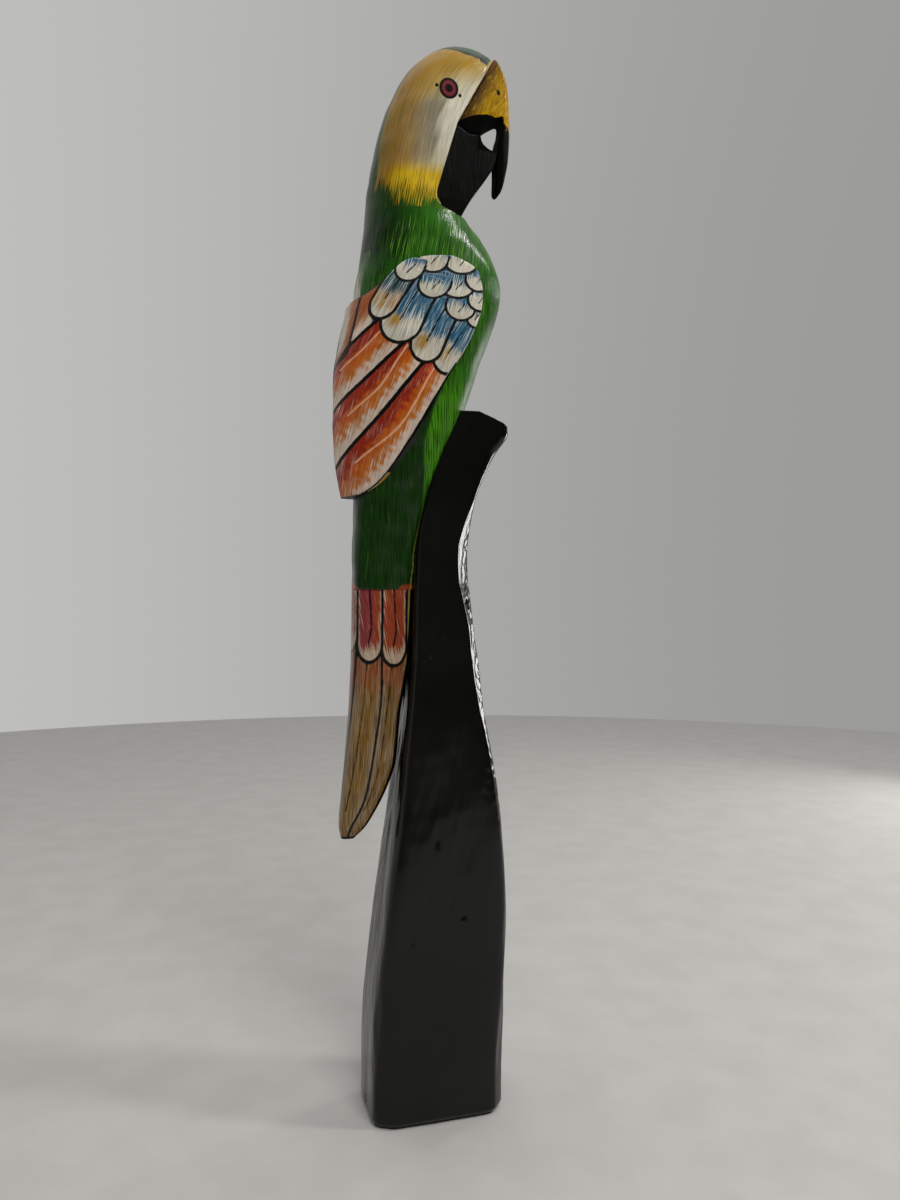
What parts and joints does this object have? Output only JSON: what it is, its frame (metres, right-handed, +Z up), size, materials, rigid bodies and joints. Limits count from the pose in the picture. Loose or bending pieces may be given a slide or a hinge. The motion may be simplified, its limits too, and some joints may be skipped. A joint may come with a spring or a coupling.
{
  "type": "carved wooden parrot",
  "caption": "Hand-carved, painted wooden macaw clinging to the back of a tall black stump, a free-standing ornament.",
  "frame": {"origin": "centre of the stump's flat foot", "axes": "+X the way the bird faces, +Y to the bird's left, +Z up"},
  "size_m": [0.0854, 0.0488, 0.5],
  "materials": {
    "stump_black": "gloss black paint over knife-cut wood",
    "painted_body": "varnished brush-painted wood, green with a yellow and cream head",
    "painted_tail": "varnished brush-painted wood, ochre, red and cream feathers",
    "painted_wing": "varnished brush-painted wood, orange, blue and cream feathers with black outlines",
    "painted_beak": "varnished painted wood, yellow above and black below",
    "bare_peg": "bare bamboo peg"
  },
  "bodies": {
    "root": {"stump": "stump_black", "body": "painted_body", "tail": "painted_tail", "right_wing": "painted_wing", "left_wing": "painted_wing", "upper_beak": "painted_beak", "lower_beak": "painted_beak", "tail_dowel": "bare_peg", "upper_beak_pin": "bare_peg", "lower_beak_pin": "bare_peg", "perch_dowel_upper": "bare_peg", "perch_dowel_lower": "bare_peg", "right_wing_pin_upper": "bare_peg", "left_wing_pin_upper": "bare_peg", "right_wing_pin_lower": "bare_peg", "left_wing_pin_lower": "bare_peg"}
  },
  "joints": []
}
